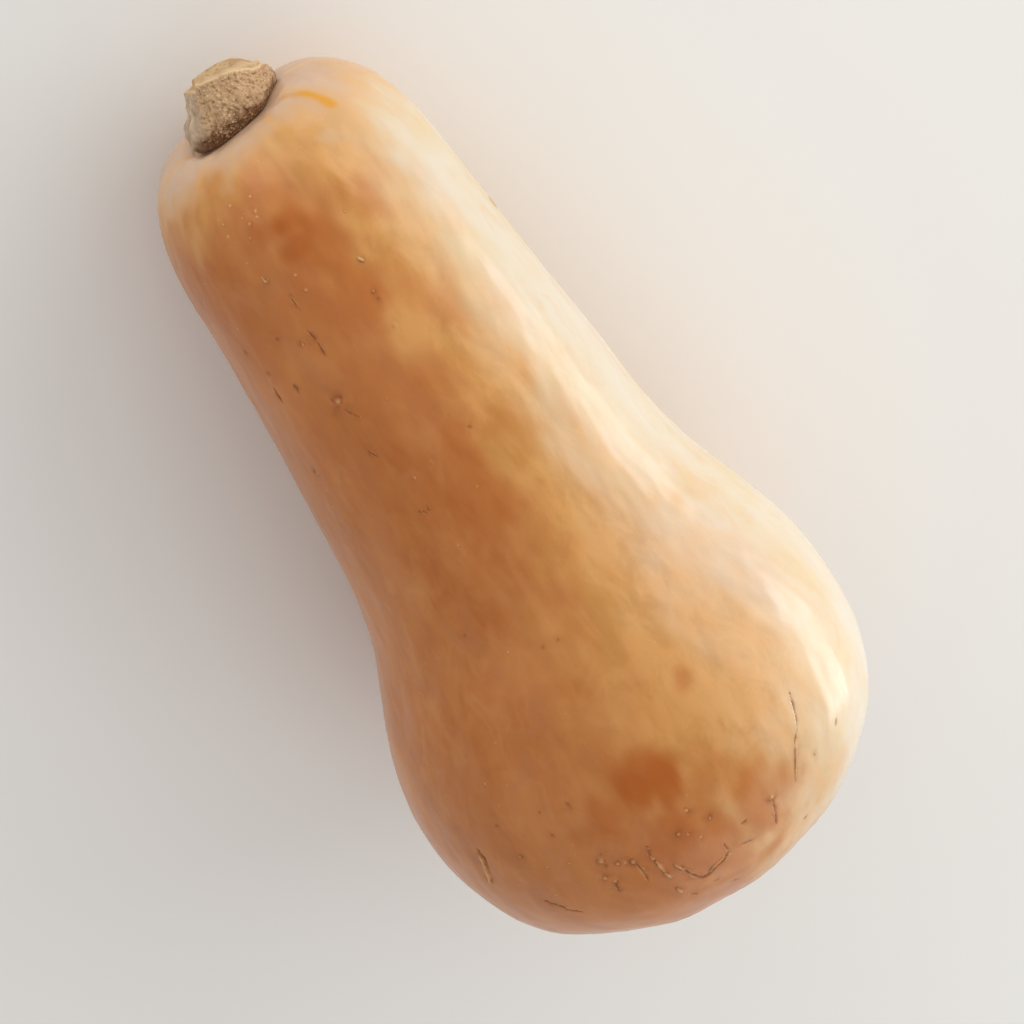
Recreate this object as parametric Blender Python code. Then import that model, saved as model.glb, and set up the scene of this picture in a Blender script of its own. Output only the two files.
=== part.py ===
"""A butternut squash as picked, lying on its side with the cut stub of its stem.

The fruit and the stem are each one closed skin: a grid rolled into a tube through a row of
rings, with both ends filled. The rings stand along the fruit's own axis, an empty that both
objects are parented to. Its +X runs from the blossom end to the stem, its +Y is the fruit's
left and its +Z is up. It dips toward the stem, because the bulb is thicker than the neck and
both of them lie on the table. The stations are in millimetres and the objects in metres.
"""

import math

import bmesh
import bpy
import numpy as np

MM = 0.001

# Each station is a ring: its distance from the blossom end, its radius, how far its centre
# is shifted to the fruit's left, and how far it leans to that side in degrees.
FRUIT_STATIONS = (
    (0.8, 4.5, 2.6, 0.0),  # rim of the blossom scar
    (0.3, 8.5, 2.6, 0.0),
    (0.9, 15.0, 2.6, 0.0),
    (3.6, 27.0, 2.5, 0.0),
    (10.0, 40.2, 2.4, 0.0),
    (21.0, 51.7, 2.2, 0.0),
    (35.0, 57.6, 2.1, 0.0),
    (50.0, 58.9, 2.0, 0.0),  # the bulb at its thickest
    (65.5, 56.7, 1.6, 0.0),
    (81.0, 51.3, 1.0, 0.0),
    (96.0, 45.4, 0.3, 0.0),
    (113.0, 41.7, 0.0, 0.0),  # the waist
    (135.0, 39.7, -0.2, 0.0),
    (158.5, 37.3, -0.2, 0.0),
    (181.0, 35.2, -0.1, 0.0),
    (197.5, 34.0, 0.2, 0.0),  # the end of the neck
    (209.5, 31.8, 0.4, 0.0),
    (218.0, 27.6, 0.5, 0.0),
    (222.4, 22.8, 0.6, 1.0),
    (224.2, 18.0, 0.9, 3.0),  # crest of the shoulder
    (224.2, 14.8, 1.6, 6.0),
    (223.8, 12.8, 2.1, 8.0),  # edge of the stem's seat
)
FRUIT_STEPS = 3  # rings from one station to the next
FRUIT_SIDES = 72

# The stem sits off the middle and leans, and its cut slants the other way.
STEM_STATIONS = (
    (224.1, 10.4, 2.1, 8.0),  # underside, 0.3 mm clear of the seat
    (224.6, 11.4, 2.1, 8.0),
    (226.6, 12.0, 2.2, 7.0),  # the cushion of the foot
    (229.6, 11.1, 1.9, 3.0),
    (232.2, 9.7, 1.2, -2.0),
    (234.0, 9.0, 0.7, -6.0),
    (234.7, 8.3, 0.7, -7.0),  # edge of the cut
)
STEM_STEPS = 3
STEM_SIDES = 48

# Each end is closed by two narrower rings in the same plane and a point in the middle.
END_RINGS = (0.66, 0.33)

# Low lobes run out from the stem and from the blossom end, and die away along the fruit.
LOBES = 10
STEM_END_LOBE = 0.014  # share of the radius
BLOSSOM_END_LOBE = 0.013
LOBE_REACH = 26.0
OUT_OF_ROUND = 0.006

# The stem keeps the five ridges of a squash stalk, and its foot is longer one way.
STEM_RIDGES = 5
STEM_RIDGE = 0.045
STEM_LONG_WAY = 45.0  # degrees from the top of the fruit to its left
STEM_LONG_SHARE = 0.07

# How far the table presses the bulb and the neck flat where they rest on it.
BULB_FLAT = 0.9
NECK_FLAT = 0.5
HALFWAY = 130.0  # the bulb is before this distance, the neck after it


def rings_between(stations, steps):
    """The stations with further rings between them, on a curve that passes through each."""
    rows = np.array(stations)
    spans = np.hypot(np.diff(rows[:, 0]), np.diff(rows[:, 1]))
    knots = np.concatenate([[0.0], np.cumsum(np.sqrt(spans))])
    slopes = np.gradient(rows, knots, axis=0)
    rings = []
    for i, width in enumerate(np.diff(knots)):
        for share in np.arange(steps) / steps:
            rest = 1 - share
            rings.append(
                (1 + 2 * share) * rest**2 * rows[i]
                + (3 - 2 * share) * share**2 * rows[i + 1]
                + share * rest**2 * width * slopes[i]
                - share**2 * rest * width * slopes[i + 1]
            )
    rings.append(rows[-1])
    return rings


def narrowed(ring, share):
    """The same ring with a smaller radius."""
    return ring * np.array([1.0, share, 1.0, 1.0])


def fruit_swell(along, turn):
    """How much the fruit's radius grows or shrinks at one place, as a factor."""
    from_stem = FRUIT_STATIONS[-1][0] - along
    at_stem = STEM_END_LOBE * math.exp(-((from_stem / LOBE_REACH) ** 2))
    at_blossom = BLOSSOM_END_LOBE * math.exp(-((along / LOBE_REACH) ** 2))
    lobes = at_stem * math.cos(LOBES * turn + 2.6 + math.sin(turn))
    lobes += at_blossom * math.cos(LOBES * turn + 1.3)
    return 1 + lobes + OUT_OF_ROUND * math.sin(2 * turn)


def stem_swell(along, turn):
    """How much the stem's radius grows or shrinks at one place, as a factor."""
    foot, cut = STEM_STATIONS[0][0], STEM_STATIONS[-1][0]
    height = (along - foot) / (cut - foot)
    from_long_way = turn - math.radians(STEM_LONG_WAY)
    ridges = STEM_RIDGE * math.cos(STEM_RIDGES * from_long_way)
    long_foot = STEM_LONG_SHARE * (1 - 0.7 * height) * math.cos(2 * from_long_way)
    return 1 + ridges + long_foot


def ring_point(ring, turn, swell):
    """The point of a ring at an angle that starts at the top and turns to the left."""
    along, radius, shift, lean = ring
    reach = radius * swell(along, turn)
    across = reach * math.sin(turn)
    lean = math.radians(lean)
    return (
        MM * (along - across * math.sin(lean)),
        MM * (shift + across * math.cos(lean)),
        MM * reach * math.cos(turn),
    )


def add_skin(name, stations, steps, sides, swell, material):
    """Rolls a grid into a tube through the stations and closes it, as a smooth object."""
    rings = rings_between(stations, steps)
    rings = [narrowed(rings[0], share) for share in reversed(END_RINGS)] + rings
    rings += [narrowed(rings[-1], share) for share in END_RINGS]
    spans = len(rings) - 1

    bm = bmesh.new()
    bmesh.ops.create_grid(bm, x_segments=spans, y_segments=sides, size=0.5)
    for vert in bm.verts:
        ring = rings[round((vert.co.x + 0.5) * spans)]
        vert.co = ring_point(ring, (vert.co.y + 0.5) * 2 * math.pi, swell)
    bmesh.ops.remove_doubles(bm, verts=bm.verts, dist=0.01 * MM)
    ends = bmesh.ops.holes_fill(bm, edges=bm.edges)["faces"]
    bmesh.ops.poke(bm, faces=ends)
    bmesh.ops.recalc_face_normals(bm, faces=bm.faces)

    mesh = bpy.data.meshes.new(name)
    bm.to_mesh(mesh)
    bm.free()
    mesh.shade_smooth()
    mesh.materials.append(material)
    skin = bpy.data.objects.new(name, mesh)
    bpy.context.scene.collection.objects.link(skin)
    return skin


def add_material(name, colour, roughness):
    """Makes a plain Principled material."""
    material = bpy.data.materials.new(name)
    material.use_nodes = True
    shader = material.node_tree.nodes["Principled BSDF"]
    shader.inputs["Base Color"].default_value = (*colour, 1.0)
    shader.inputs["Roughness"].default_value = roughness
    material.diffuse_color = (*colour, 1.0)
    return material


def world_points(obj):
    """The object's points where they stand in the world."""
    bpy.context.view_layer.update()
    return np.array([obj.matrix_world @ vert.co for vert in obj.data.vertices])


def lay_down(axis, fruit):
    """Dips the axis until bulb and neck press into the table, each by its own depth."""
    bulb = np.array([vert.co.x < HALFWAY * MM for vert in fruit.data.vertices])
    low, high = 0.0, math.radians(30)
    for _ in range(24):
        axis.rotation_euler.y = (low + high) / 2
        heights = world_points(fruit)[:, 2]
        bulb_low, neck_low = heights[bulb].min(), heights[~bulb].min()
        if bulb_low + BULB_FLAT * MM < neck_low + NECK_FLAT * MM:
            low = axis.rotation_euler.y
        else:
            high = axis.rotation_euler.y
    axis.location.z = -bulb_low - BULB_FLAT * MM


def press_flat(fruit):
    """Lifts the skin that reaches under the table onto it."""
    bpy.context.view_layer.update()
    to_fruit = fruit.matrix_world.inverted()
    for vert in fruit.data.vertices:
        point = fruit.matrix_world @ vert.co
        if point.z < 0:
            point.z = 0
            vert.co = to_fruit @ point


def centre_over_origin(axis, pieces):
    """Moves everything so that the origin is under the middle of the whole squash."""
    points = np.vstack([world_points(piece) for piece in pieces])
    middle = (points.min(axis=0) + points.max(axis=0)) / 2
    axis.location.x -= middle[0]
    axis.location.y -= middle[1]


def main():
    for obj in list(bpy.data.objects):
        bpy.data.objects.remove(obj)

    rind = add_material("rind", (0.62, 0.31, 0.12), 0.45)
    cork = add_material("cork", (0.36, 0.24, 0.13), 0.9)
    fruit = add_skin("fruit", FRUIT_STATIONS, FRUIT_STEPS, FRUIT_SIDES, fruit_swell, rind)
    stem = add_skin("stem", STEM_STATIONS, STEM_STEPS, STEM_SIDES, stem_swell, cork)

    axis = bpy.data.objects.new("fruit_axis", None)
    bpy.context.scene.collection.objects.link(axis)
    for piece in (fruit, stem):
        piece.parent = axis
    lay_down(axis, fruit)
    press_flat(fruit)
    centre_over_origin(axis, (fruit, stem))

    on_table = world_points(fruit)
    on_table = on_table[on_table[:, 2] < 0.001 * MM]
    for part, chosen in (("bulb", on_table[:, 0] < 0), ("neck", on_table[:, 0] > 0)):
        spot = on_table[chosen] / MM
        print(part, "rests from", spot.min(axis=0).round(2), "to", spot.max(axis=0).round(2))
    print("the axis dips by", round(math.degrees(axis.rotation_euler.y), 3), "degrees")
    print("its origin is at", [round(value / MM, 3) for value in axis.location], "mm")


main()
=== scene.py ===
# %% [markdown]
# # A butternut squash on a pale table
#
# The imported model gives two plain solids: the fruit and the cut stub of its stem. This lesson
# turns each of them into a finished piece: a waxy rind with blotches, pimples and healed
# scratches, and a dry, corky stem with a pale cut end. The solids keep their size and place.

# %% Load the squash
import math

import bpy
import numpy as np
from mathutils import Matrix, Vector, noise


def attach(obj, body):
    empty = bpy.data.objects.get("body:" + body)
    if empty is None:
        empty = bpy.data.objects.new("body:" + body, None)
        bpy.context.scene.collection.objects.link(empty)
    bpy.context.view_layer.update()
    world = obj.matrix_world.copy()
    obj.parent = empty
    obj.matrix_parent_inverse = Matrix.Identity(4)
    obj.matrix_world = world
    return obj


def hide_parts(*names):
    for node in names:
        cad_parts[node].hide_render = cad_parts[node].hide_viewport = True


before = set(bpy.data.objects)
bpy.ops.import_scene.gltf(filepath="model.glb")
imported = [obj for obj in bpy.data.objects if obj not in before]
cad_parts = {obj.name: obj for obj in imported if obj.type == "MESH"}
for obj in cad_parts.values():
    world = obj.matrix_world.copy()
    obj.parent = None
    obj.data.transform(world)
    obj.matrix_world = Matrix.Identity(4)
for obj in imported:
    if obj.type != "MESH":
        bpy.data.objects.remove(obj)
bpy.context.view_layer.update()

MM = 0.001
print("nodes:", sorted(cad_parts))

# %% [markdown]
# ## The fruit's own directions
#
# A squash is measured along its own axis, from the blossom end to the stem. The axis dips,
# because the thick bulb and the thin neck both lie on the table. Every mark on the rind is
# placed by two numbers: its distance from the blossom end in millimetres, and its angle
# round the axis in degrees, which starts at the top and grows to the fruit's left.

# %% The axis
DIP = math.radians(9.686)
BLOSSOM_END = Vector((-115.748, -2.019, 66.222)) * MM
ALONG = Vector((math.cos(DIP), 0, -math.sin(DIP)))
LEFT = Vector((0, 1, 0))
TOP = Vector((math.sin(DIP), 0, math.cos(DIP)))


def fruit_places(points):
    """Points in millimetres along the fruit, to its left and to its top."""
    return (np.asarray(points) - np.array(BLOSSOM_END)) @ np.array((ALONG, LEFT, TOP)).T / MM


# %% [markdown]
# ## Camera
#
# The photograph looks down at the squash from above its stem's end, with the camera turned
# so that the stem points up and to the left. A long lens keeps bulb and neck in proportion.
# The camera is built from three directions: to the camera, up in the picture, and right.

# %% Camera
STEM_TOWARD_CAMERA = math.radians(22)
ROLL = math.radians(33.5)
LENS, SENSOR = 135, 36
PICTURE_PIXELS, PIXELS_PER_MM = 1024, 4.21
AIM_ALONG = 106.6  # millimetres from the blossom end

to_camera = math.cos(STEM_TOWARD_CAMERA) * TOP + math.sin(STEM_TOWARD_CAMERA) * ALONG
stem_in_picture = math.cos(STEM_TOWARD_CAMERA) * ALONG - math.sin(STEM_TOWARD_CAMERA) * TOP
picture_up = math.cos(ROLL) * stem_in_picture - math.sin(ROLL) * LEFT
picture_right = picture_up.cross(to_camera)
aim = BLOSSOM_END + AIM_ALONG * MM * ALONG
distance = PICTURE_PIXELS / PIXELS_PER_MM * MM * LENS / SENSOR

turned = Matrix((picture_right, picture_up, to_camera)).transposed()
bpy.ops.object.camera_add(location=aim + distance * to_camera, rotation=turned.to_euler())
camera = bpy.context.object
camera.data.lens = LENS
camera.data.sensor_width = SENSOR
bpy.context.scene.camera = camera
print("camera", round(distance, 3), "m away, looking down",
      round(math.degrees(math.asin(to_camera.z)), 1), "degrees")

# %% [markdown]
# ## Light
#
# The light comes from one side, like a big window: it is brightest along the fruit's right
# flank and fades over its back. A small bright box that stands low beside the squash draws
# the crisp highlights on the wax of the neck and the bulb. A white board beyond each end
# lights the shoulder and the bulb's round end, and a pale room fills the shadows. All of them
# are area lights: the smaller a light is, the crisper its highlight. A bluer light whitens a
# highlight on a skin as warm as this one.


# %% Light
def soft_light(name, way, metres_away, size, watts, tint=(1.0, 0.985, 0.95)):
    """A flat light that faces the squash from some way off."""
    way = way.normalized()
    bpy.ops.object.light_add(type="AREA", location=aim + metres_away * way,
                             rotation=way.to_track_quat("Z", "Y").to_euler())
    light = bpy.context.object
    light.name = name
    light.data.shape = "RECTANGLE"
    light.data.size, light.data.size_y = size
    light.data.energy = watts
    light.data.color = tint
    light.visible_camera = False  # seen only in the wax, not as a white sheet in other views
    return light


soft_light("window", -0.90 * LEFT + 0.42 * TOP + 0.08 * ALONG, 0.95, (1.3, 0.8), 4.8)
low_box = soft_light("low box", -0.90 * LEFT - 0.03 * TOP - 0.43 * ALONG, 0.44, (0.36, 0.13),
                     0.95, tint=(0.72, 0.87, 1.0))
soft_light("board at the stem", 0.95 * ALONG + 0.35 * TOP - 0.1 * LEFT, 0.8, (0.7, 0.7), 2.0)
soft_light("board at the bulb", -0.92 * ALONG + 0.3 * TOP - 0.15 * LEFT, 0.9, (0.7, 0.7), 1.6)

room = bpy.data.worlds.new("pale room")
bpy.context.scene.world = room
room.use_nodes = True
room.node_tree.nodes["Background"].inputs["Color"].default_value = (1, 0.99, 0.97, 1)
room.node_tree.nodes["Background"].inputs["Strength"].default_value = 0.55
bpy.context.scene.view_settings.view_transform = "Standard"

# %% [markdown]
# ## Helpers for materials
#
# A material is a small graph of nodes. One function adds a node, sets its options, fills each
# input with a number or a link, and hands back one of its outputs. Colours are written as
# they look on a screen, so another function turns them into linear light.


# %% Material helpers
def colour(hex_code):
    """A screen colour as linear red, green, blue and alpha."""
    screen = [int(hex_code[i : i + 2], 16) / 255 for i in (1, 3, 5)]
    return (*(c / 12.92 if c < 0.04045 else ((c + 0.055) / 1.055) ** 2.4 for c in screen), 1)


def put(tree, kind, inputs=(), gives=None, **options):
    """Adds a node with its options and inputs, and returns the output of that name."""
    node = tree.nodes.new("ShaderNode" + kind)
    for name, value in options.items():
        setattr(node, name, value)
    for name, value in dict(inputs).items():
        socket = next(s for s in node.inputs if s.enabled and s.name == name)
        if isinstance(value, bpy.types.NodeSocket):
            tree.links.new(value, socket)
        else:
            socket.default_value = value
    return next(s for s in node.outputs if s.enabled and gives in (None, s.name))


def new_material(name):
    """A material whose graph holds only its output and a Principled shader."""
    material = bpy.data.materials.new(name)
    material.use_nodes = True
    return material, material.node_tree, material.node_tree.nodes["Principled BSDF"]


# %% [markdown]
# ## The table
#
# The table is a plain pale sheet. It throws light back at the underside of the fruit, which
# is why the lower edge of the squash isn't black.

# %% Table
bpy.ops.mesh.primitive_plane_add(size=8)
table = bpy.context.object
table.name = "table"
paper, tree, shader = new_material("matt white paper")
fibres = put(tree, "TexNoise", {"Scale": 40.0, "Detail": 2.0})
tone = put(tree, "Mix", {"Factor": fibres, "A": colour("#f1f0ee"), "B": colour("#f6f5f3")},
           data_type="RGBA")
tree.links.new(tone, shader.inputs["Base Color"])
shader.inputs["Roughness"].default_value = 0.9
table.data.materials.append(paper)
print(table.name, "is", [round(side, 1) for side in table.dimensions[:2]], "m")

# %% [markdown]
# ## Working copies of the solids
#
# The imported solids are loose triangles, so a copy is merged into one skin, and its triangles
# are joined back into four-sided faces. Subdivision then rounds the facets away. The other
# way would be to remesh, but that loses the rows of faces that run along the fruit.


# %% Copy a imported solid
def only(piece):
    """Makes one object the active and only selected one."""
    bpy.ops.object.select_all(action="DESELECT")
    piece.select_set(True)
    bpy.context.view_layer.objects.active = piece


def working_copy(node, name, levels):
    """A merged, quad-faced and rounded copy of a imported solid."""
    piece = bpy.data.objects.new(name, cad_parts[node].data.copy())
    bpy.context.scene.collection.objects.link(piece)
    only(piece)
    bpy.ops.mesh.customdata_custom_splitnormals_clear()
    bpy.ops.object.mode_set(mode="EDIT")
    bpy.ops.mesh.select_all(action="SELECT")
    bpy.ops.mesh.remove_doubles(threshold=0.01 * MM)
    bpy.ops.mesh.tris_convert_to_quads()
    bpy.ops.object.mode_set(mode="OBJECT")
    rounder = piece.modifiers.new("rounder", "SUBSURF")
    rounder.levels = rounder.render_levels = levels
    bpy.ops.object.modifier_apply(modifier=rounder.name)
    print(name, "has", len(piece.data.polygons), "faces")
    return piece


rind = working_copy("fruit", "rind", 2)

# %% [markdown]
# ## Reading and moving the skin's points
#
# Shapes such as pimples and scratches are too fine and too many to pull by hand, so they are
# raised by formula: each point moves along its own normal by some height. numpy reads and
# writes all the points at once.


# %% Points in, points out
def read_points(piece, what="vertices", part="co"):
    """The place, normal or centre of every point or face of a piece, one row each."""
    source = getattr(piece.data, what)
    values = np.empty(len(source) * 3)
    source.foreach_get(part, values)
    return values.reshape(-1, 3)


def raise_points(piece, heights):
    """Moves each point along its normal by its own height in millimetres."""
    moved = read_points(piece) + read_points(piece, part="normal") * (heights * MM)[:, None]
    moved[:, 2] = np.maximum(moved[:, 2], 0)
    piece.data.vertices.foreach_set("co", moved.ravel())
    piece.data.update()


def keep_on_points(piece, name, values):
    """Stores a number or a direction on each point, for the material to read."""
    kind, part = ("FLOAT", "value") if values.ndim == 1 else ("FLOAT_VECTOR", "vector")
    layer = piece.data.attributes.new(name, kind, "POINT")
    layer.data.foreach_set(part, values.astype(np.float32).ravel())


def lumps(places, size, seed):
    """Smooth noise, about -1 to 1, with lumps of that size in millimetres."""
    shift = Vector((seed * 17.3, seed * 7.1, seed * 3.7))
    return np.array([noise.noise(Vector(place) / size + shift) for place in places])


def fade(values, start, end):
    """Rises smoothly from 0 at the start to 1 at the end."""
    share = np.clip((values - start) / (end - start), 0, 1)
    return share * share * (3 - 2 * share)


# %% [markdown]
# ## Dents and swellings of the rind
#
# A squash isn't turned on a lathe. Its skin has low dents, longer along the fruit than
# round it, and they show where the edge of the light wanders on the neck. They fade out
# where the fruit lies on the table, so that it still rests on its flat spots.

# %% Low dents
LONGER_ALONG = np.array((0.5, 1, 1))
MUCH_LONGER_ALONG = np.array((0.3, 1, 1))
places = fruit_places(read_points(rind))
dents = 0.5 * lumps(places * LONGER_ALONG, 24, 1) + 0.18 * lumps(places * LONGER_ALONG, 9, 2)
dents += 0.13 * lumps(places * MUCH_LONGER_ALONG, 5, 3)
off_table = fade(read_points(rind)[:, 2] / MM, 0, 3)
raise_points(rind, dents * off_table)
print("dents from", dents.min().round(2), "to", dents.max().round(2), "mm")

# %% [markdown]
# The skin is gathered where it meets the stem: shallow folds run outward from the stem like
# spokes, and are gone a few centimetres away.

# %% Folds round the stem
STEM_SEAT = np.array((224.0, 2.1, 0.0))


def folds_round_stem(places):
    """Shallow spokes, about -1 to 1, from the edge of the stem's seat outward."""
    across = places - STEM_SEAT
    turn = np.arctan2(across[:, 1], across[:, 2])
    out = np.linalg.norm(across, axis=1)
    spokes = np.column_stack([3.2 * np.sin(turn), 3.2 * np.cos(turn), out / 40])
    return lumps(spokes, 1.0, 4) * fade(out, 11, 15) * (1 - fade(out, 20, 46))


folds = 0.7 * folds_round_stem(fruit_places(read_points(rind)))
raise_points(rind, folds)
print("folds from", folds.min().round(2), "to", folds.max().round(2), "mm")

# %% [markdown]
# ## Kinds of marks
#
# The fruit grew on the ground, and its skin kept a record of it. A pimple is a small pale
# pore of cork, and a ring is a bigger one that stands in a dark moat. A spot is a shallow
# dark dent. A scratch is a dark groove, a ridge is a scratch that healed proud and pale, and
# a crack is a deep scratch with pale lips. Each kind has a height and a tone in its middle
# and on its rim; tones below zero are dark and above zero are pale. The tones are partly the
# marks' own colour and partly painted light: the dark rims round pimples, rings and ridges,
# the ring's moat among them, are painted shade at their feet; the pale lips of scratches and
# cracks are painted highlight; the pale middles of rings and ridges hold painted highlight on
# pale cork, and the dark grooves hold painted shade on a dark wound. Sap and soil have
# stained the skin brown round most of them.

# %% Kinds of marks
KINDS = {
    # height in the middle and of the rim in millimetres, tone in the middle and of the rim, with
    # painted shade and painted highlight in the tones as well as the marks' colour, and how dark
    # the stain is that spreads a little way round the mark
    "pimple": (0.20, -0.06, 0.55, -0.3, 0.0),
    "spot": (-0.06, 0.0, -0.5, 0.0, 0.25),
    "ring": (0.24, -0.14, 0.45, -0.6, 0.6),
    "ridge": (0.42, -0.16, 0.6, -0.7, 0.6),
    "scratch": (-0.26, 0.12, -0.75, 0.45, 0.55),
    "crack": (-0.30, 0.18, -0.85, 0.6, 0.2),
}

# %% [markdown]
# ## Where the marks are
#
# Each mark has a kind, a half-width in millimetres, and its places along and around the
# fruit. One place makes a dot, and more places make a line that runs through them.

# %% Marks on the neck
NECK_MARKS = (
    ("pimple", 0.42, (214.9, 29.4)), ("pimple", 0.42, (212.4, 25.0)),
    ("pimple", 0.45, (211.8, 19.7)), ("pimple", 0.32, (210.6, 20.1)),
    ("pimple", 0.30, (211.7, 26.2)), ("pimple", 0.36, (209.9, 24.1)),
    ("pimple", 0.36, (208.8, 17.3)), ("pimple", 0.28, (211.9, 36.1)),
    ("pimple", 0.32, (209.2, 36.1)), ("pimple", 0.36, (207.2, 26.9)),
    ("pimple", 0.30, (214.8, 19.0)), ("pimple", 0.36, (195.4, 18.7)),
    ("pimple", 0.34, (191.3, 18.3)), ("pimple", 0.34, (190.0, 8.8)),
    ("ring", 0.50, (180.1, 31.2)), ("pimple", 0.36, (160.8, 14.7)),
    ("pimple", 0.34, (143.1, 13.2)), ("pimple", 0.34, (141.3, 21.0)),
    ("pimple", 0.30, (150.0, -0.3)), ("pimple", 0.30, (122.8, 24.5)),
    ("pimple", 0.30, (122.6, 20.6)), ("pimple", 0.30, (95.4, 23.6)),
    ("ridge", 0.34, (198.2, 30.8), (197.0, 30.2), (197.3, 29.0)),
    ("scratch", 0.26, (191.9, 24.6), (189.6, 24.9), (187.8, 24.5)),
    ("scratch", 0.28, (182.9, 26.5), (179.7, 25.7), (175.9, 25.6)),
    ("spot", 0.80, (183.6, 39.7)), ("spot", 0.90, (176.2, 52.7)), ("spot", 0.70, (182.2, 58.2)),
    ("pimple", 0.30, (201.5, -10.2)), ("ring", 0.42, (183.1, -2.2)), ("spot", 0.55, (181.2, -2.3)),
    ("spot", 0.55, (174.0, -1.2)), ("spot", 0.75, (145.2, -3.4), (144.8, -4.4)),
    ("spot", 0.50, (102.4, 33.9)), ("spot", 0.50, (92.8, 9.1)), ("spot", 0.55, (92.8, 13.9)),
    ("ridge", 0.30, (191.2, -4.3), (189.9, -5.5)),
    ("crack", 0.60, (172.2, 54.1), (170.2, 54.6), (168.2, 54.4)),
    ("scratch", 0.28, (172.2, 44.3), (171.2, 43.5), (170.0, 43.7)),
    ("ring", 0.95, (164.7, 31.0)), ("scratch", 0.30, (162.6, 30.4), (161.4, 29.4), (159.3, 26.8)),
    ("scratch", 0.26, (151.3, 30.9), (149.7, 29.1)), ("ring", 0.55, (149.2, 57.8)),
    ("scratch", 0.24, (134.0, 26.5), (133.0, 24.3), (133.0, 21.6)),
)

# %% Marks on the bulb
BULB_MARKS = (
    ("spot", 0.75, (60.5, 27.0), (58.9, 26.4)), ("spot", 0.55, (60.3, 34.1)),
    ("spot", 0.50, (59.4, 46.9)), ("spot", 0.65, (54.3, 34.1), (53.2, 33.9)),
    ("ring", 0.50, (50.4, 45.1)), ("pimple", 0.30, (69.8, 45.2)), ("pimple", 0.30, (64.1, 43.8)),
    ("pimple", 0.28, (66.3, 59.5)), ("pimple", 0.34, (47.4, 31.6)), ("pimple", 0.32, (45.6, 34.3)),
    ("pimple", 0.32, (46.1, 40.0)), ("pimple", 0.34, (38.0, 40.5)), ("pimple", 0.34, (37.6, 43.1)),
    ("ridge", 0.70, (52.0, 57.4), (50.0, 57.5), (46.1, 58.7), (42.3, 60.4)),
    ("scratch", 0.50, (53.6, 57.0), (51.6, 56.6), (49.5, 56.4)),
    ("scratch", 0.36, (36.6, 48.7), (35.7, 47.2), (34.7, 46.6), (33.4, 45.0), (31.6, 44.4),
     (30.6, 42.6), (29.5, 41.4)),
    ("ring", 0.62, (43.2, 27.3)), ("ring", 0.55, (41.0, 24.4)), ("ring", 0.42, (40.4, 22.7)),
    ("ring", 0.62, (39.8, 21.0)), ("ring", 0.55, (38.3, 29.1)), ("ring", 0.60, (36.5, 27.6)),
    ("ring", 0.55, (44.9, 4.4)), ("ring", 0.48, (39.8, 0.9)), ("ring", 0.48, (40.8, 8.8)),
    ("ring", 0.44, (39.4, 7.0)), ("ring", 0.46, (36.8, 5.1)),
    ("scratch", 0.30, (36.5, 27.6), (34.6, 28.3), (32.6, 28.5)),
    ("scratch", 0.40, (38.9, 20.8), (35.9, 20.6), (33.0, 21.0)),
    ("scratch", 0.34, (41.8, 16.4), (39.4, 16.9)),
    ("ridge", 0.40, (38.6, 16.9), (35.6, 16.7), (32.8, 16.8), (30.4, 16.5)),
    ("ridge", 0.46, (33.4, 13.7), (30.6, 12.8)),
    ("scratch", 0.46, (30.6, 12.8), (27.7, 11.9), (25.3, 10.7)),
    ("scratch", 0.42, (25.3, 10.7), (25.4, 8.6), (26.4, 6.4), (27.0, 3.8), (28.6, 1.6),
     (30.9, 1.6)),
    ("ridge", 0.34, (25.9, 8.2), (26.9, 6.0), (27.6, 3.2)), ("pimple", 0.42, (27.6, 1.9)),
    ("ridge", 0.38, (26.6, 17.3), (23.9, 17.2)), ("scratch", 0.30, (21.8, 16.3), (20.8, 14.8)),
    ("scratch", 0.30, (22.0, 9.0), (21.6, 7.5)), ("scratch", 0.30, (17.7, 5.3), (17.3, 3.9)),
    ("scratch", 0.24, (28.0, -1.5), (27.3, -3.5), (26.9, -5.5)),
    ("scratch", 0.24, (33.2, -4.4), (33.1, -6.1)), ("ring", 0.62, (33.8, -13.9)),
    ("scratch", 0.32, (32.8, -13.8), (29.9, -13.3), (26.3, -12.1)),
    ("crack", 0.30, (50.3, -32.1), (47.2, -31.1), (44.1, -29.7), (41.9, -28.0)),
    ("ridge", 0.30, (41.9, -28.0), (39.6, -26.0), (36.1, -23.9), (32.3, -21.6)),
    ("scratch", 0.22, (34.6, -41.4), (33.4, -40.2)), ("spot", 0.40, (33.1, -29.8)),
    ("spot", 0.40, (32.7, -24.8)), ("scratch", 0.24, (19.8, -21.9), (18.8, -21.4)),
    ("spot", 0.50, (45.1, 26.4)), ("spot", 0.60, (41.6, 27.0)), ("spot", 0.45, (33.4, 27.7)),
)

# %% [markdown]
# The photograph shows one side only. The underside and the back get the same sorts of
# marks, strewn by a random generator with a fixed seed, so that they are the same each time.

# %% Marks on the hidden sides
STREWN_DOTS, STREWN_LINES = 46, 9
chance = np.random.default_rng(12)
strewn = []
for _ in range(STREWN_DOTS):
    along, around = chance.uniform(14, 214), chance.uniform(78, 285)
    kind = chance.choice(["pimple", "pimple", "ring", "spot"])
    strewn.append((kind, chance.uniform(0.3, 0.55), (along, around)))
for _ in range(STREWN_LINES):
    along, around = chance.uniform(20, 205), chance.uniform(85, 280)
    step = chance.uniform((1.5, -1.5), (3.5, 1.5))
    line = [tuple(np.add((along, around), step * i + chance.normal(0, 0.3, 2))) for i in range(3)]
    strewn.append((chance.choice(["scratch", "ridge", "crack"]), 0.32, *line))
MARKS = NECK_MARKS + BULB_MARKS + tuple(strewn)
print(len(MARKS), "marks, of which", len(strewn), "on the hidden sides")

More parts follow.
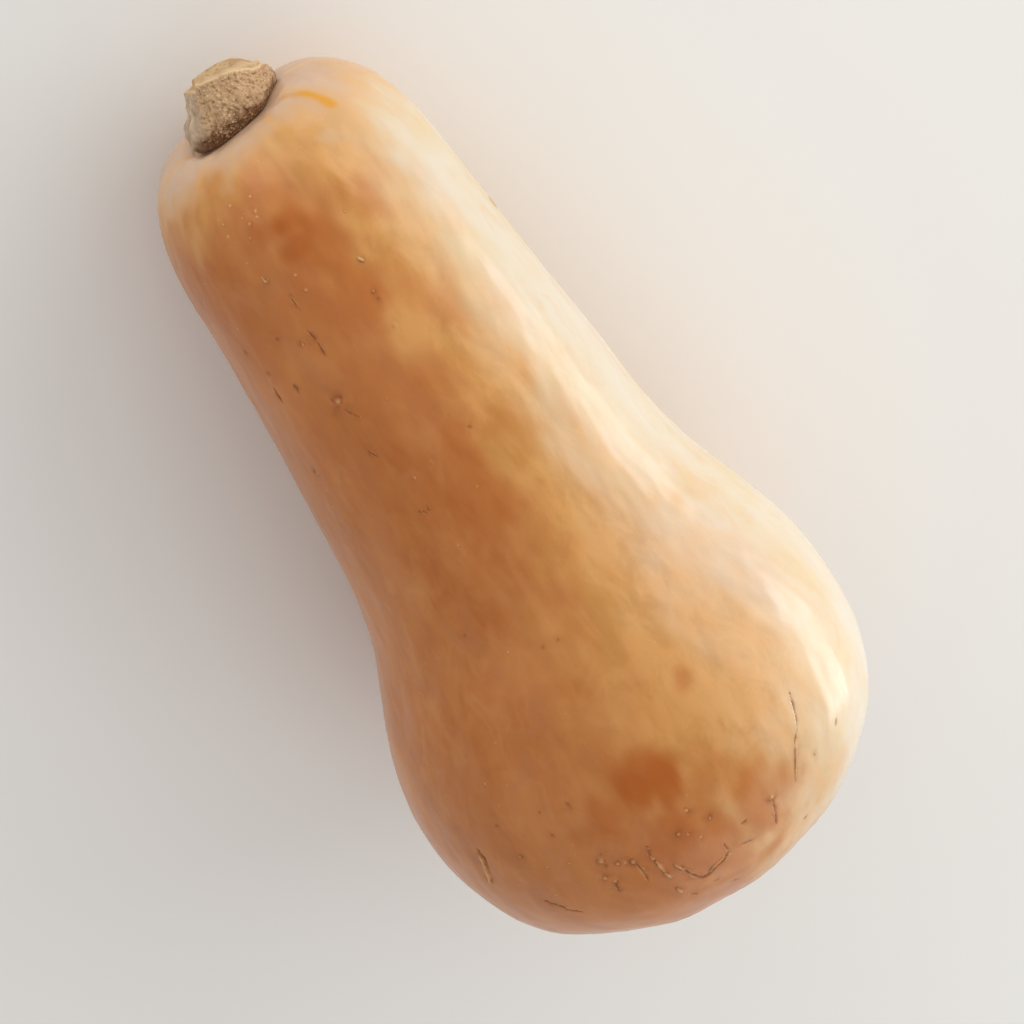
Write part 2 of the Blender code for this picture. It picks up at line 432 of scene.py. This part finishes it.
# %% [markdown]
# ## Placing the marks
#
# A mark's two numbers become a point on the skin by sending a ray from the axis outward. The
# skin's faces are a millimetre wide, too coarse for a pimple, so the faces near a mark are
# selected and cut into smaller ones, and the new points are smoothed.


# %% Put marks on the skin
def on_rind(along, around):
    """The place of the rind, in the fruit's own millimetres, at a distance and an angle."""
    outward = math.sin(math.radians(around)) * LEFT + math.cos(math.radians(around)) * TOP
    _, point, _, _ = rind.ray_cast(BLOSSOM_END + ALONG * (along * MM), outward)
    return fruit_places(point)


def curved(line):
    """The same line with three more points in each span, on a smooth curve."""
    if len(line) < 3:
        return line
    ends = [2 * line[0] - line[1], *line, 2 * line[-1] - line[-2]]
    points = []
    for before, start, end, after in zip(ends, ends[1:], ends[2:], ends[3:]):
        for t in (0, 0.25, 0.5, 0.75):
            points.append(start + 0.5 * t * (end - before
                                             + t * (2 * before - 5 * start + 4 * end - after)
                                             + t * t * (3 * start - before - 3 * end + after)))
    return points + [line[-1]]


def distance_from(places, line):
    """How far each place is from a dot or a line, and its nearest share of the line's length."""
    nearest = np.linalg.norm(places - line[0], axis=1)
    nearest_share = np.full(len(places), 0.5 if len(line) == 1 else 0.0)
    for i, (start, end) in enumerate(zip(line, line[1:])):
        way = end - start
        share = np.clip((places - start) @ way / (way @ way), 0, 1)
        away = np.linalg.norm(places - start - share[:, None] * way, axis=1)
        nearer = away < nearest
        nearest[nearer] = away[nearer]
        nearest_share[nearer] = (i + share[nearer]) / (len(line) - 1)
    return nearest, nearest_share


bpy.context.view_layer.update()
marks = [(*KINDS[kind], width, curved([on_rind(*place) for place in line]))
         for kind, width, *line in MARKS]

# %% Cut smaller faces near the marks
centres = fruit_places(read_points(rind, "polygons", "center"))
near = np.zeros(len(centres), bool)
for *_, width, line in marks:
    near |= distance_from(centres, line)[0] < 1.5 * width + 0.65
rind.data.vertices.foreach_set("select", np.zeros(len(rind.data.vertices), bool))
rind.data.edges.foreach_set("select", np.zeros(len(rind.data.edges), bool))
rind.data.polygons.foreach_set("select", near)
only(rind)
bpy.context.tool_settings.mesh_select_mode = (False, False, True)
bpy.ops.object.mode_set(mode="EDIT")
bpy.ops.mesh.subdivide(number_cuts=3, smoothness=0)
bpy.ops.mesh.vertices_smooth(factor=0.5, repeat=4)
bpy.ops.object.mode_set(mode="OBJECT")
rind.data.calc_loop_triangles()
print(near.sum(), "faces cut; the rind has", len(rind.data.loop_triangles), "triangles")

# %% [markdown]
# ## Raising the marks
#
# A mark's height falls off from its middle like a bell, and its rim is a second, narrower
# bell further out. Its stain is a third bell, nearly three times as wide. The distance is
# roughened, the rim is broken here and there, a line grows thick and thin on its way and
# narrow toward both ends, and the stain has gaps, so that no two marks look alike. The skin
# between the marks gets its own ripples, which break up the edges of the highlights.

# %% Raise the marks
places = fruit_places(read_points(rind))
ragged = 0.24 * lumps(places, 0.7, 5) + 0.16 * lumps(places, 2.0, 6)
broken = fade(lumps(places, 1.1, 9), -0.25, 0.3)
thick_and_thin = 1 + 0.7 * lumps(places, 1.6, 10)
heights = 0.13 * lumps(places * LONGER_ALONG, 2.6, 7) + 0.03 * lumps(places, 1.5, 8)
pale, dark, stain = np.zeros((3, len(places)))
for middle_height, rim_height, middle_tone, rim_tone, stain_tone, width, line in marks:
    away, share = distance_from(places, line)
    taper = width * (0.45 + 0.55 * np.sin(math.pi * share)) * thick_and_thin
    away = np.maximum(away + ragged * min(1, width / 0.5), 0) / taper
    middle, rim = np.exp(-((1.4 * away) ** 2)), broken * np.exp(-(((away - 1.1) / 0.35) ** 2))
    size = min(1.3, width / 0.4)
    heights += size * (middle_height * middle + rim_height * rim)
    # Painted light in the tone: a dark rim is painted shade, and a pale lip or middle is partly
    # painted highlight.
    tone = middle_tone * middle + rim_tone * rim
    pale, dark = np.maximum(pale, tone), np.maximum(dark, -tone)
    stain = np.maximum(stain, stain_tone * np.exp(-((away / 2.8) ** 2)))
raise_points(rind, heights * fade(read_points(rind)[:, 2] / MM, 0, 2))
keep_on_points(rind, "pale", np.clip(pale, 0, 1))
keep_on_points(rind, "dark", np.clip(dark, 0, 1))
keep_on_points(rind, "stain", stain * fade(lumps(places, 2.4, 17), -0.5, 0.25))
print("marks from", heights.min().round(2), "to", heights.max().round(2), "mm")

# %% [markdown]
# ## The blossom scar
#
# Where the flower dropped off, the end of the fruit keeps a round scar of cork about 8 mm
# across. Its edge heals as a low ring, its middle sinks and cracks, and a nub is left of the
# flower's style.

# %% Blossom scar
SCAR_MIDDLE, SCAR_RADIUS = np.array((0.8, 2.6, 0.0)), 4.0
from_scar = np.linalg.norm(places - SCAR_MIDDLE, axis=1) + 0.5 * lumps(places, 1.8, 13)
scar = 1 - fade(from_scar, SCAR_RADIUS - 0.2, SCAR_RADIUS + 0.5)
scar_ring = np.exp(-(((from_scar - SCAR_RADIUS + 0.4) / 0.5) ** 2))
nub = np.exp(-((from_scar / 0.9) ** 2))
cracks = fade(-lumps(places, 0.8, 14), 0.05, 0.45) * scar * (1 - nub)
raise_points(rind, 0.4 * scar_ring + 0.6 * nub - scar * (0.3 + 0.25 * cracks))
keep_on_points(rind, "scar", scar)
keep_on_points(rind, "cracks", cracks)
print("points in the scar:", int((scar > 0.5).sum()))

# %% [markdown]
# ## Colour zones of the rind
#
# Ripening colours the skin unevenly. Each zone of colour is a number from 0 to 1 on the
# skin's points, which the material reads. Smooth noise pushes the edges of the zones about,
# so that they are ragged. Painting by hand would do too, but a formula can be changed later.
#
# The first zones are the deep orange blotches, where the sun or the ground touched the skin.

# %% Blotches
BLOTCHES = (
    # along, around, radius in millimetres, strength
    (206.3, 14.3, 6.4, 0.9), (201.0, 13.2, 6.4, 0.8), (196.0, 9.0, 10.0, 0.5),
    (200.3, -22.5, 6.5, 0.40), (170.5, -18.6, 8.0, 0.35), (186.0, 8.0, 13.0, 0.40),
    (160.0, 6.0, 16.0, 0.30), (55.7, 7.7, 8.5, 0.95), (54.5, 21.2, 6.5, 0.45),
    (70.7, -11.8, 3.5, 0.45), (47.0, -4.0, 9.0, 0.40), (38.0, 12.0, 12.0, 0.40),
    (33.0, -9.0, 12.0, 0.50), (38.5, -1.0, 9.0, 0.45), (31.0, 5.0, 9.0, 0.35),
    (186.0, 32.0, 20.0, 0.28), (160.0, 26.0, 22.0, 0.30), (135.0, 12.0, 20.0, 0.30),
    (110.0, 10.0, 16.0, 0.22),
    (92.0, 150.0, 14.0, 0.6), (180.0, 200.0, 12.0, 0.5), (50.0, 225.0, 9.0, 0.35),
    (130.0, 110.0, 13.0, 0.4), (30.0, 180.0, 10.0, 0.5),
)
along, left, top = places.T
around = np.degrees(np.arctan2(left, top))
edges = lumps(places * LONGER_ALONG, 7, 11) + 0.5 * lumps(places * LONGER_ALONG, 3, 12)
fine_edges = lumps(places * LONGER_ALONG, 4.5, 15)

blotch = np.zeros(len(places))
for where_along, where_around, radius, strength in BLOTCHES:
    away = np.linalg.norm(places - on_rind(where_along, where_around), axis=1) / radius
    blotch = np.maximum(blotch, strength * (1 - fade(away + 0.7 * edges + 0.2 * fine_edges,
                                                     0.3, 1.3)))
keep_on_points(rind, "blotch", blotch)
print("blotched share", (blotch > 0.5).mean().round(3))

# %% [markdown]
# The skin round the stem stays pale, and reaches a little further down both sides than over
# the top. One flank hardly ripened: it turns from orange to tan and then to cream. The cream
# is partly the skin's own paler colour and partly painted light: it is made paler than the
# skin, for the window's light and highlight on the flank that faces it. On the bulb the tan
# starts sooner and the cream is full later. On the hidden side the cream fades back to tan.

# %% The pale stem end and the pale flank
from_stem = np.linalg.norm(places - STEM_SEAT, axis=1)
down_the_sides = 6 * fade(around, 25, 75) + 5 * fade(-around, 20, 55)
stem_end = 1 - fade(from_stem + 5 * edges - down_the_sides, 9, 38)
keep_on_points(rind, "stem_end", stem_end)

toward_window = -around * (1 - fade(np.abs(around), 120, 180))
bulb = fade(along, 38, 66) * (1 - fade(along, 88, 125))
wavy = 9 * edges + 5 * fine_edges
tan_flank = fade(toward_window + wavy, -9 - 22 * bulb, 15 + 2 * bulb)
keep_on_points(rind, "tan_flank", tan_flank * fade(along + 4 * edges, -8, 11))
blossom_half = 1 - fade(along, 34, 62)
# Partly painted light: the cream zone faces the window and is paler than the skin itself.
cream_and_painted_light_flank = fade(toward_window + wavy, 12 - 8 * bulb - 14 * blossom_half, 58 + 22 * bulb)
cream_and_painted_light_flank *= fade(along + 5 * edges, -4, 18) * (1 - 0.6 * fade(-around + wavy, 85, 130))
keep_on_points(rind, "cream_and_painted_light_flank", cream_and_painted_light_flank)
for zone, share in (("pale end", stem_end), ("tan", tan_flank), ("cream", cream_and_painted_light_flank)):
    print(zone, "share", (share > 0.5).mean().round(3))

# %% [markdown]
# The blossom end is paler too; its extra paleness on the flank toward the window is painted
# light, like the cream. Thin yellow rays run out from the stem, and one deep yellow streak
# lies beside it. Two directions go onto the points as well: the place on the fruit, and the
# meridian, in which a pattern becomes streaks that run from the stem to the blossom.

# %% The blossom end, the rays and the yellow streak
from_blossom = np.linalg.norm(places - (0, 2.6, 0), axis=1)
blossom_end = 0.55 * (1 - fade(from_blossom + 4 * edges, 8, 46))
# Painted light: the blossom end is paler on the side toward the window.
blossom_end *= 0.3 + 0.7 * fade(toward_window, -20, 50)
blossom_end += 0.4 * (1 - fade(from_blossom + 3 * edges, 4, 24))
keep_on_points(rind, "blossom_end", blossom_end)

turn = np.radians(around)
keep_on_points(rind, "meridian", np.column_stack([7 * np.sin(turn), 7 * np.cos(turn), along / 11]))
keep_on_points(rind, "place", places)
keep_on_points(rind, "folds", folds_round_stem(places))
across = places - STEM_SEAT
seat_turn = np.arctan2(across[:, 1], across[:, 2])
spokes = np.column_stack([9 * np.sin(seat_turn), 9 * np.cos(seat_turn), from_stem / 30])
rays = lumps(spokes, 1.0, 16)
rays = fade(rays, 0.12, 0.42) * fade(from_stem, 11, 15) * (1 - fade(from_stem + 5 * edges, 18, 40))
keep_on_points(rind, "rays", rays)

STREAK = np.array(((224.2, -9.0, 12.0), (223.8, -12.7, 15.0), (222.4, -15.2, 17.6),
                   (219.8, -16.5, 19.5)))
streak = 1 - fade(distance_from(places, STREAK)[0] + 0.4 * edges, 0.3, 1.9)
keep_on_points(rind, "streak", streak)
print("points in the rays:", int((rays > 0.5).sum()), "in the streak:", int((streak > 0.5).sum()))

# %% [markdown]
# ## Rind
#
# The rind is a hard skin with a thin natural wax. The wax gives a broad, soft highlight, and
# the flesh just under the skin lets a little light through, which warms the shadow's edge.
# The colour is built in layers: two browns mottled together, short soft streaks that point
# from the stem to the blossom, and then the zones and the marks.

# %% Colours of the rind
waxy_rind, tree, shader = new_material("waxy squash rind")
place = put(tree, "Attribute", attribute_name="place", gives="Vector")
along_skin = put(tree, "Mapping", {"Vector": place, "Scale": (0.5, 1, 1)})

# Mottling: patches about 25 mm across, longer along the fruit.
patches = put(tree, "TexNoise", {"Vector": along_skin, "Scale": 1 / 25, "Detail": 3.0,
                                 "Roughness": 0.6, "Distortion": 0.4})
patches = put(tree, "MapRange", {"Value": patches, "From Min": 0.35, "From Max": 0.65},
              interpolation_type="SMOOTHSTEP")
skin = put(tree, "Mix", {"Factor": patches, "A": colour("#b7692c"), "B": colour("#c97d42")},
           data_type="RGBA")

# Freckles of tone a few millimetres across keep any one patch from looking painted.
flecks = put(tree, "TexNoise", {"Vector": along_skin, "Scale": 1 / 5, "Detail": 4.0,
                                "Roughness": 0.6, "Distortion": 0.6})
flecks = put(tree, "MapRange", {"Value": flecks, "From Min": 0.3, "From Max": 0.7,
                                "To Min": 0.0, "To Max": 0.36})
skin = put(tree, "Mix", {"Factor": flecks, "A": skin, "B": colour("#d8924c")}, data_type="RGBA")

# Duller, browner clouds about 9 mm across lie between the orange ones.
clouds = put(tree, "TexNoise", {"Vector": along_skin, "Scale": 1 / 9, "Detail": 3.0,
                                "Roughness": 0.55, "Distortion": 0.5})
clouds = put(tree, "MapRange", {"Value": clouds, "From Min": 0.48, "From Max": 0.68,
                                "To Min": 0.0, "To Max": 0.4}, interpolation_type="SMOOTHSTEP")
skin = put(tree, "Mix", {"Factor": clouds, "A": skin, "B": colour("#bd7a4c")}, data_type="RGBA")

# The pale flank is tan with ochre clouds about 8 mm across, and cream further round. The
# cream is partly painted light: paler than the skin, for the window's light and highlight.
tan_share = put(tree, "Attribute", attribute_name="tan_flank", gives="Fac")
cream_and_painted_light_share = put(tree, "Attribute", attribute_name="cream_and_painted_light_flank", gives="Fac")
ochre = put(tree, "TexNoise", {"Vector": along_skin, "Scale": 1 / 8, "Detail": 4.0,
                               "Roughness": 0.6, "Distortion": 0.5})
ochre = put(tree, "MapRange", {"Value": ochre, "From Min": 0.38, "From Max": 0.66},
            interpolation_type="SMOOTHSTEP")
tan = put(tree, "Mix", {"Factor": ochre, "A": colour("#d99d59"), "B": colour("#c78c47")},
          data_type="RGBA")
skin = put(tree, "Mix", {"Factor": tan_share, "A": skin, "B": tan}, data_type="RGBA")
cream = put(tree, "Mix", {"Factor": patches, "A": colour("#d7be96"), "B": colour("#d8c8b2")},
            data_type="RGBA")
skin = put(tree, "Mix", {"Factor": cream_and_painted_light_share, "A": skin, "B": cream}, data_type="RGBA")

# %% Streaks, ends and blotches
meridian = put(tree, "Attribute", attribute_name="meridian", gives="Vector")
streaks = put(tree, "TexNoise", {"Vector": meridian, "Scale": 1.1, "Detail": 3.0,
                                 "Roughness": 0.5, "Distortion": 0.7})
streaks = put(tree, "MapRange", {"Value": streaks, "From Min": 0.5, "From Max": 0.72,
                                 "To Min": 0.0, "To Max": 0.2}, interpolation_type="SMOOTHSTEP")
skin = put(tree, "Mix", {"Factor": streaks, "A": skin, "B": colour("#d99c62")}, data_type="RGBA")

blotches = put(tree, "Attribute", attribute_name="blotch", gives="Fac")
skin = put(tree, "Mix", {"Factor": blotches, "A": skin, "B": colour("#b35c11")}, data_type="RGBA")

# Toward the stem the skin turns yellow first, and a dusty beige close to it.
stem_end = put(tree, "Attribute", attribute_name="stem_end", gives="Fac")
yellow_share = put(tree, "MapRange", {"Value": stem_end, "From Min": 0.05, "From Max": 0.5,
                                      "To Min": 0.0, "To Max": 0.75})
beige_share = put(tree, "MapRange", {"Value": stem_end, "From Min": 0.3, "From Max": 0.85})
skin = put(tree, "Mix", {"Factor": yellow_share, "A": skin, "B": colour("#dca45e")},
           data_type="RGBA")
skin = put(tree, "Mix", {"Factor": beige_share, "A": skin, "B": colour("#d2ae90")},
           data_type="RGBA")
folds = put(tree, "Attribute", attribute_name="folds", gives="Fac")
crests = put(tree, "MapRange", {"Value": folds, "From Min": 0.05, "From Max": 0.45,
                                "To Min": 0.0, "To Max": 0.5})
skin = put(tree, "Mix", {"Factor": crests, "A": skin, "B": colour("#e6c08c")}, data_type="RGBA")
rays = put(tree, "Attribute", attribute_name="rays", gives="Fac")
rays = put(tree, "MapRange", {"Value": rays, "To Min": 0.0, "To Max": 0.45})
skin = put(tree, "Mix", {"Factor": rays, "A": skin, "B": colour("#e0ab62")}, data_type="RGBA")
blossom_end = put(tree, "Attribute", attribute_name="blossom_end", gives="Fac")
skin = put(tree, "Mix", {"Factor": blossom_end, "A": skin, "B": colour("#cba478")},
           data_type="RGBA")
ripe_streak = put(tree, "Attribute", attribute_name="streak", gives="Fac")
skin = put(tree, "Mix", {"Factor": ripe_streak, "A": skin, "B": colour("#dd9c33")},
           data_type="RGBA")

# %% Marks, pores and wax
# Lenticels, the pale pores of the skin: dots under a millimetre, about 6 mm apart.
pores = put(tree, "TexVoronoi", {"Vector": place, "Scale": 1 / 6, "Randomness": 1.0})
pores = put(tree, "MapRange", {"Value": pores, "From Min": 0.02, "From Max": 0.06,
                               "To Min": 0.22, "To Max": 0.0}, interpolation_type="SMOOTHSTEP")
skin = put(tree, "Mix", {"Factor": pores, "A": skin, "B": colour("#e6bf93")}, data_type="RGBA")

stain = put(tree, "Attribute", attribute_name="stain", gives="Fac")
skin = put(tree, "Mix", {"Factor": stain, "A": skin, "B": colour("#94511e")}, data_type="RGBA")
# The pale and dark marks carry painted highlight and painted shade as well as the marks' own
# colours.
pale_marks_and_painted_highlight = put(tree, "Attribute", attribute_name="pale", gives="Fac")
dark_marks_and_painted_shade = put(tree, "Attribute", attribute_name="dark", gives="Fac")
skin = put(tree, "Mix", {"Factor": dark_marks_and_painted_shade, "A": skin, "B": colour("#8a4214")},
           data_type="RGBA")
skin = put(tree, "Mix", {"Factor": pale_marks_and_painted_highlight, "A": skin, "B": colour("#efc186")},
           data_type="RGBA")

# The blossom scar is bare cork, almost black in its cracks.
scar = put(tree, "Attribute", attribute_name="scar", gives="Fac")
cracks = put(tree, "Attribute", attribute_name="cracks", gives="Fac")
scar_cork = put(tree, "Mix", {"Factor": cracks, "A": colour("#a07c55"), "B": colour("#4a3220")},
                data_type="RGBA")
skin = put(tree, "Mix", {"Factor": scar, "A": skin, "B": scar_cork}, data_type="RGBA")
tree.links.new(skin, shader.inputs["Base Color"])

# The wax is glossier in some patches than in others, and the corky marks have none.
wax = put(tree, "MapRange", {"Value": flecks, "From Min": 0.0, "From Max": 0.3,
                             "To Min": 0.34, "To Max": 0.48})
corky = put(tree, "Math", {"Value": dark_marks_and_painted_shade}, operation="MAXIMUM")
tree.links.new(pale_marks_and_painted_highlight, corky.node.inputs[1])
corky = put(tree, "Math", {"Value": corky}, operation="MAXIMUM")
tree.links.new(scar, corky.node.inputs[1])
rough = put(tree, "Mix", {"Factor": corky, "A": wax, "B": 0.8}, data_type="FLOAT")
tree.links.new(rough, shader.inputs["Roughness"])
shader.inputs["IOR"].default_value = 1.42
shader.inputs["Specular IOR Level"].default_value = 0.3
shader.inputs["Coat Weight"].default_value = 0.5
shader.inputs["Coat IOR"].default_value = 1.42
shader.inputs["Coat Roughness"].default_value = 0.2
shader.inputs["Subsurface Weight"].default_value = 0.12
shader.inputs["Subsurface Radius"].default_value = (1.0, 0.45, 0.2)
shader.inputs["Subsurface Scale"].default_value = 3 * MM

# The skin's grain: bumps 1.6 mm across and under 0.1 mm high, with finer ones on them.
grain = put(tree, "TexNoise", {"Vector": place, "Scale": 1 / 1.6, "Detail": 3.0})
bump = put(tree, "Bump", {"Height": grain, "Strength": 0.5, "Distance": 0.09 * MM})
tree.links.new(bump, shader.inputs["Normal"])

# %% Hand over the rind
rind.data.materials.clear()
rind.data.materials.append(waxy_rind)
rind.data.shade_smooth()
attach(rind, "root")
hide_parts("fruit")

# %% [markdown]
# ## The stem's shape
#
# The stub of the stem dried out after the cut. Its sides are corky and covered with warts
# under a millimetre wide, except on the lower lobe, where the old bark is smooth and ribbed.
# The cut face is fibrous, hollows toward its middle, and keeps a pale raised rim.

# %% Zones of the stem
stem_stub = working_copy("stem", "stem_stub", 3)
FOOT, CUT = 224.1, 234.7
CUT_LEAN, CUT_SHIFT = math.radians(-7), 0.7
FOOT_LEAN, FOOT_SHIFT = math.radians(8), 2.1

places = fruit_places(read_points(stem_stub))
along, left, top = places.T
around = np.degrees(np.arctan2(left - 1.6, top))
above_cut = along - CUT + (left - CUT_SHIFT) * math.tan(CUT_LEAN)
above_foot = along - FOOT + (left - FOOT_SHIFT) * math.tan(FOOT_LEAN)
wander = lumps(places, 2.2, 21) + 0.5 * lumps(places, 0.9, 22)
from_middle = np.hypot(left - CUT_SHIFT, top)

cut_face = fade(above_cut + 0.25 * wander, -0.55, -0.25)
smooth_lobe = fade(around + 12 * wander, 34, 56) * (1 - fade(around, 150, 175))
warty = (1 - cut_face) * (1 - 0.85 * smooth_lobe)
print("cut face share", cut_face.mean().round(2), "smooth lobe share", smooth_lobe.mean().round(2))

# %% [markdown]
# The knife didn't leave a flat cut. The near side stands a little higher, the right side was
# torn away at a slant, and the left corner is a step lower. The points near the cut are
# moved along the fruit, less and less toward the foot.

# %% Shape the cut
near_side = 1.8 * fade(top, -5, 4) * fade(left, -7, 0)
torn_side = -2.4 * (1 - fade(left, -8.5, -3.5))
step = -1.3 * fade(left, 6.2, 7.0)
lift = (near_side + torn_side + step) * fade(above_foot, 2.0, 9.0)
stem_points = read_points(stem_stub) + (lift * MM)[:, None] * np.array(ALONG)
stem_stub.data.vertices.foreach_set("co", stem_points.ravel())
stem_stub.data.update()
print("the cut moves by", lift.min().round(1), "to", lift.max().round(1), "mm")


# %% Raise the warts, ribs and fibres
def warts(places, size, seed):
    """Round warts on a surface: 1 on top of each and 0 between them."""
    shift = Vector((seed * 5.3, seed * 2.9, seed * 8.1))
    near = np.array([noise.voronoi(Vector(p) / size + shift)[0][:2] for p in places])
    return np.clip(1 - (near[:, 0] / 0.62) ** 2, 0, 1) * fade(near[:, 1] - near[:, 0], 0, 0.3)


wart = warts(places, 0.72, 31) * fade(lumps(places, 1.7, 35), -0.45, 0.15)
fine_wart = warts(places, 0.42, 32)
hollows = fade(-lumps(places, 0.8, 36) - 0.6 * lumps(places, 0.35, 37), 0.1, 0.55)
turn = np.radians(around)
ribs = lumps(np.column_stack([9 * np.sin(turn), 9 * np.cos(turn), along / 6]), 1.0, 33)
fibres = lumps(np.column_stack([left * 2.5, top * 2.5, along * 0.5]), 1.0, 34)
rim = np.exp(-((above_cut + 0.45) / 0.35) ** 2) * fade(from_middle, 4, 6.5)

heights = warty * (0.26 * wart + 0.10 * fine_wart - 0.18 * hollows)
heights += 0.55 * wander * (1 - cut_face) * fade(above_foot, 0.4, 2)
heights += 0.25 * ribs * smooth_lobe * (1 - cut_face)
heights += cut_face * (0.10 * fibres - 0.9 * (1 - fade(from_middle, 1.5, 6.5)) + 0.15 * wander)
heights += 0.35 * rim
heights += 1.1 * fade(around, 40, 70) * (1 - fade(around, 110, 140)) * (1 - fade(above_foot, 4, 8))
heights *= fade(above_foot, 0.1, 1.2)
heights += 0.35 * (1 - fade(above_foot, 0.0, 0.6))  # the foot sits down on the skin
raise_points(stem_stub, heights)
print("stem relief from", heights.min().round(2), "to", heights.max().round(2), "mm")

# %% [markdown]
# ## Stem
#
# A dry squash stem is cork over wood. It is quite matt. The warts are worn pale on top and
# stay brown in between, the foot is darkened with painted shade where the stem meets the
# skin, and the cut shows pale pith with brown stains and the dark ends of fibres.

# %% Dry cork
keep_on_points(stem_stub, "place", places)
keep_on_points(stem_stub, "wart", warty * np.maximum(wart, 0.7 * fine_wart))
keep_on_points(stem_stub, "hollow", hollows * (1 - 0.8 * cut_face))
keep_on_points(stem_stub, "lobe", smooth_lobe * (1 - cut_face))
keep_on_points(stem_stub, "ribs", 0.5 + 0.5 * ribs)
keep_on_points(stem_stub, "cut", cut_face)
keep_on_points(stem_stub, "rim", np.clip(rim, 0, 1))
# Painted shade: the foot is darker where the stem meets the skin, and it reaches higher on one
# side.
near_middle = fade(around, -50, 20) * (1 - fade(around, 45, 100))
keep_on_points(stem_stub, "foot_shade", 1 - fade(above_foot + 1.2 * wander - 2.2 * near_middle, 0.0, 3.0))

dry_cork, tree, shader = new_material("dry squash stem")
place = put(tree, "Attribute", attribute_name="place", gives="Vector")
mottle = put(tree, "TexNoise", {"Vector": place, "Scale": 1 / 3, "Detail": 4.0})
cork = put(tree, "Mix", {"Factor": mottle, "A": colour("#ae8660"), "B": colour("#cfac86")},
           data_type="RGBA")
# Painted shade darkens the foot, where the stem meets the skin.
foot_shade = put(tree, "Attribute", attribute_name="foot_shade", gives="Fac")
cork = put(tree, "Mix", {"Factor": foot_shade, "A": cork, "B": colour("#6b4426")}, data_type="RGBA")
tops = put(tree, "Attribute", attribute_name="wart", gives="Fac")
tops = put(tree, "MapRange", {"Value": tops, "From Min": 0.2, "From Max": 0.95,
                              "To Min": 0.0, "To Max": 0.7})
cork = put(tree, "Mix", {"Factor": tops, "A": cork, "B": colour("#e8c99c")}, data_type="RGBA")

hollow = put(tree, "Attribute", attribute_name="hollow", gives="Fac")
hollow = put(tree, "MapRange", {"Value": hollow, "To Min": 0.0, "To Max": 0.5})
cork = put(tree, "Mix", {"Factor": hollow, "A": cork, "B": colour("#6b4524")}, data_type="RGBA")

lobe = put(tree, "Attribute", attribute_name="lobe", gives="Fac")
ribs_tone = put(tree, "Attribute", attribute_name="ribs", gives="Fac")
bark = put(tree, "Mix", {"Factor": ribs_tone, "A": colour("#a68a70"), "B": colour("#d3bc9f")},
           data_type="RGBA")
bark_share = put(tree, "Math", {"Value": lobe}, operation="MULTIPLY")
clear_of_foot = put(tree, "MapRange", {"Value": foot_shade, "To Min": 1.0, "To Max": 0.15})
tree.links.new(clear_of_foot, bark_share.node.inputs[1])
cork = put(tree, "Mix", {"Factor": bark_share, "A": cork, "B": bark}, data_type="RGBA")

specks = put(tree, "TexVoronoi", {"Vector": place, "Scale": 1 / 1.2, "Randomness": 1.0})
specks = put(tree, "MapRange", {"Value": specks, "From Min": 0.12, "From Max": 0.34,
                                "To Min": 0.75, "To Max": 0.0})
stains = put(tree, "TexNoise", {"Vector": place, "Scale": 1 / 3.5, "Detail": 5.0,
                                "Roughness": 0.7})
stains = put(tree, "MapRange", {"Value": stains, "From Min": 0.42, "From Max": 0.64,
                                "To Min": 0.0, "To Max": 0.75})
pith = put(tree, "Mix", {"Factor": mottle, "A": colour("#c09c6c"), "B": colour("#dabb90")},
           data_type="RGBA")
pith = put(tree, "Mix", {"Factor": stains, "A": pith, "B": colour("#9c7442")}, data_type="RGBA")
pith = put(tree, "Mix", {"Factor": specks, "A": pith, "B": colour("#84592a")}, data_type="RGBA")
cut = put(tree, "Attribute", attribute_name="cut", gives="Fac")
cork = put(tree, "Mix", {"Factor": cut, "A": cork, "B": pith}, data_type="RGBA")
rim_tone = put(tree, "Attribute", attribute_name="rim", gives="Fac")
cork = put(tree, "Mix", {"Factor": rim_tone, "A": cork, "B": colour("#dcbb92")},
           data_type="RGBA")
tree.links.new(cork, shader.inputs["Base Color"])
shader.inputs["IOR"].default_value = 1.5
roughness = put(tree, "MapRange", {"Value": mottle, "To Min": 0.78, "To Max": 0.95})
tree.links.new(roughness, shader.inputs["Roughness"])
grain = put(tree, "TexNoise", {"Vector": place, "Scale": 1 / 0.25, "Detail": 3.0})
bump = put(tree, "Bump", {"Height": grain, "Strength": 0.6, "Distance": 0.1 * MM})
tree.links.new(bump, shader.inputs["Normal"])

# %% Hand over the stem
stem_stub.data.materials.clear()
stem_stub.data.materials.append(dry_cork)
stem_stub.data.shade_smooth()
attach(stem_stub, "root")
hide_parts("stem")

# %% [markdown]
# ## What the low box lights
#
# The low box stands so close to the table that it would burn a white patch with a hard edge
# into it. In a studio a dark card under the box keeps its light off the table. Here the light
# is linked to the two pieces of the squash, and nothing else receives it.

# %% Keep the low box off the table
squash_only = bpy.data.collections.new("squash only")
for piece in (rind, stem_stub):
    squash_only.objects.link(piece)
low_box.light_linking.receiver_collection = squash_only
